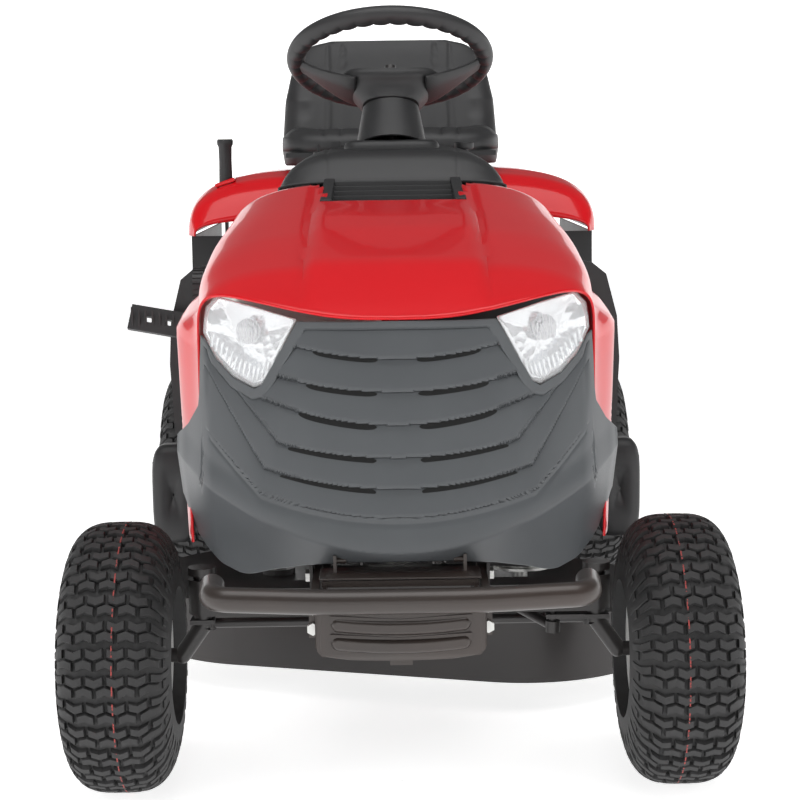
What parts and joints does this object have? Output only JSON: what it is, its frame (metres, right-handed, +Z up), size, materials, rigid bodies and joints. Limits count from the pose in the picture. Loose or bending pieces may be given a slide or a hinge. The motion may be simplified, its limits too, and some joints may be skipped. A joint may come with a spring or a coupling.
{
  "type": "riding lawn mower",
  "caption": "Ride-on mower with tilting front bonnet, steered front axle, twin-blade lifting deck and bucket seat.",
  "frame": {"origin": "middle of the footprint's bounding box, on the ground", "axes": "+Z up, the mower faces -Y, +X is its left-hand side"},
  "size_m": [0.9216, 1.8454, 1.0998],
  "materials": {
    "red_paint": "glossy moulded colour",
    "grey_plastic": "fine-grained moulding",
    "black_plastic": "fine-grained moulding",
    "black_metal": "satin powder coat",
    "tyre": "turf tread rubber",
    "rim": "painted steel",
    "seat": "vinyl with sewn channels",
    "lens": "clear moulded lens",
    "reflector": "vacuum metallised",
    "steel": "zinc plated",
    "aluminium": "die cast",
    "rubber": "belt rubber",
    "tank": "blow moulded"
  },
  "bodies": {
    "chassis": {"left_frame_rail": "black_metal", "right_frame_rail": "black_metal", "engine_plate": "black_metal", "rear_plate": "black_metal", "tow_hitch_plate": "black_metal", "front_bumper": "black_metal", "guard_plate": "black_metal", "axle_bracket": "black_metal", "floor_pan": "grey_plastic", "rear_fender": "red_paint", "dashboard": "black_plastic", "column_shroud": "black_plastic", "console_shell": "red_paint", "fuel_tank": "tank", "engine_block": "aluminium", "blower_housing": "black_plastic", "muffler": "steel", "battery": "black_plastic", "transaxle": "aluminium", "drive_belt": "rubber", "bolts": "steel", "seat_rails": "steel"},
    "crankshaft": {"crank_pulley": "steel"},
    "filler_cap": {"fuel_cap": "grey_plastic"},
    "front_axle": {"front_axle_beam": "black_metal"},
    "left_steer": {"left_knuckle": "black_metal"},
    "right_steer": {"right_knuckle": "black_metal"},
    "front_left_wheel": {"front_left_tyre": "tyre", "front_left_rim": "rim"},
    "front_right_wheel": {"front_right_tyre": "tyre", "front_right_rim": "rim"},
    "rear_left_wheel": {"rear_left_tyre": "tyre", "rear_left_rim": "rim", "left_axle_shaft": "steel"},
    "rear_right_wheel": {"rear_right_tyre": "tyre", "rear_right_rim": "rim", "right_axle_shaft": "steel"},
    "tie": {"tie_rod": "steel"},
    "drag": {"drag_link": "steel"},
    "sector": {"sector_gear": "steel"},
    "steering": {"steering_shaft": "steel", "steering_wheel": "black_plastic"},
    "deck": {"mower_deck": "black_metal", "blade_belt": "rubber"},
    "left_cutter": {"left_spindle": "steel", "left_blade": "steel"},
    "right_cutter": {"right_spindle": "steel", "right_blade": "steel"},
    "lever": {"height_lever": "black_plastic"},
    "hood": {"bonnet": "red_paint", "grille_mask": "grey_plastic", "headlight_lenses": "lens", "headlight_reflectors": "reflector"},
    "pedal": {"drive_pedal": "black_metal"},
    "seat_slider": {"slide_carriage": "steel"},
    "seat": {"seat_pan": "black_plastic", "seat_cushion": "seat"},
    "throttle": {"throttle_lever": "black_plastic"},
    "key": {"ignition_key": "steel"},
    "blade_knob": {"blade_switch": "red_paint"}
  },
  "joints": [
    {"name": "axle_swing", "type": "hinge", "parent": "chassis", "child": "front_axle", "pos_m": [0, -0.57725, 0.266], "axis": [0, 1, 0], "range_deg": [-4.5, 4.5]},
    {"name": "left_kingpin", "type": "hinge", "parent": "front_axle", "child": "left_steer", "pos_m": [0.272, -0.57725, 0.26], "axis": [0, 0, 1], "range_deg": [-34, 34]},
    {"name": "right_kingpin", "type": "hinge", "parent": "front_axle", "child": "right_steer", "pos_m": [-0.272, -0.57725, 0.26], "axis": [0, 0, 1], "range_deg": [-35.5, 35.5]},
    {"name": "tie_rod_joint", "type": "hinge", "parent": "left_steer", "child": "tie", "pos_m": [0.272, -0.49725, 0.21], "axis": [0, 0, 1], "range_deg": [-35.5, 35.5]},
    {"name": "drag_link_joint", "type": "hinge", "parent": "left_steer", "child": "drag", "pos_m": [0.212, -0.57725, 0.222], "axis": [0, 0, 1], "range_deg": [-35.5, 35.5]},
    {"name": "sector_turn", "type": "hinge", "parent": "chassis", "child": "sector", "pos_m": [0, -0.40515, 0.30186], "axis": [0, 0.4067, 0.9135], "range_deg": [-35.5, 35.5]},
    {"name": "steering_turn", "type": "hinge", "parent": "chassis", "child": "steering", "pos_m": [0, 0.02275, 1.022], "axis": [0, 0.4067, 0.9135], "range_deg": [-212, 212]},
    {"name": "front_left_spin", "type": "hinge", "parent": "left_steer", "child": "front_left_wheel", "pos_m": [0.3826, -0.57725, 0.186], "axis": [1, 0, 0], "continuous": true},
    {"name": "rear_left_spin", "type": "hinge", "parent": "chassis", "child": "rear_left_wheel", "pos_m": [0.3548, 0.62275, 0.228], "axis": [1, 0, 0], "continuous": true},
    {"name": "front_right_spin", "type": "hinge", "parent": "right_steer", "child": "front_right_wheel", "pos_m": [-0.3826, -0.57725, 0.186], "axis": [1, 0, 0], "continuous": true},
    {"name": "rear_right_spin", "type": "hinge", "parent": "chassis", "child": "rear_right_wheel", "pos_m": [-0.3548, 0.62275, 0.228], "axis": [1, 0, 0], "continuous": true},
    {"name": "deck_lift", "type": "slide", "parent": "chassis", "child": "deck", "axis": [0, 0, 1], "range_m": [0, 0.05]},
    {"name": "height_lever_turn", "type": "hinge", "parent": "chassis", "child": "lever", "pos_m": [-0.304, 0.35775, 0.6], "axis": [1, 0, 0], "range_deg": [-25.5, 0.5]},
    {"name": "left_blade_spin", "type": "hinge", "parent": "deck", "child": "left_cutter", "pos_m": [0.205, -0.05225, 0.1], "axis": [0, 0, 1], "continuous": true},
    {"name": "right_blade_spin", "type": "hinge", "parent": "deck", "child": "right_cutter", "pos_m": [-0.205, 0.06775, 0.1], "axis": [0, 0, 1], "continuous": true},
    {"name": "crank_spin", "type": "hinge", "parent": "chassis", "child": "crankshaft", "pos_m": [0, -0.51525, 0.4], "axis": [0, 0, 1], "continuous": true},
    {"name": "hood_tilt", "type": "hinge", "parent": "chassis", "child": "hood", "pos_m": [0, -0.84725, 0.378], "axis": [1, 0, 0], "range_deg": [0, 50]},
    {"name": "pedal_push", "type": "hinge", "parent": "chassis", "child": "pedal", "pos_m": [-0.24, -0.10725, 0.392], "axis": [1, 0, 0], "range_deg": [0, 22], "stiffness_Nm_per_rad": 8, "springref_deg": -28.65},
    {"name": "seat_slide", "type": "slide", "parent": "chassis", "child": "seat_slider", "axis": [0, 1, 0], "range_m": [-0.02, 0.02]},
    {"name": "seat_tilt", "type": "hinge", "parent": "seat_slider", "child": "seat", "pos_m": [0, 0.31275, 0.862], "axis": [1, 0, 0], "range_deg": [0, 60]},
    {"name": "throttle_turn", "type": "hinge", "parent": "chassis", "child": "throttle", "pos_m": [-0.09, -0.02425, 0.858], "axis": [1, 0, 0], "range_deg": [-25, 25]},
    {"name": "key_turn", "type": "hinge", "parent": "chassis", "child": "key", "pos_m": [-0.12, 0.00775, 0.864], "axis": [0, 0, 1], "range_deg": [-60, 0]},
    {"name": "blade_knob_pull", "type": "slide", "parent": "chassis", "child": "blade_knob", "axis": [0, 0, 1], "range_m": [0, 0.012]},
    {"name": "fuel_cap_turn", "type": "hinge", "parent": "chassis", "child": "filler_cap", "pos_m": [-0.301, -0.21125, 0.668], "axis": [-1, 0, 0], "range_deg": [0, 90]}
  ],
  "couplings": [
    {"joint": "right_kingpin", "follows": "left_kingpin", "ratio": 1},
    {"joint": "tie_rod_joint", "follows": "left_kingpin", "ratio": -1},
    {"joint": "drag_link_joint", "follows": "left_kingpin", "ratio": -1},
    {"joint": "sector_turn", "follows": "left_kingpin", "ratio": -1},
    {"joint": "steering_turn", "follows": "left_kingpin", "ratio": 6},
    {"joint": "height_lever_turn", "follows": "deck_lift", "rad_per_m": -8.7266},
    {"joint": "right_blade_spin", "follows": "left_blade_spin", "ratio": 1}
  ]
}
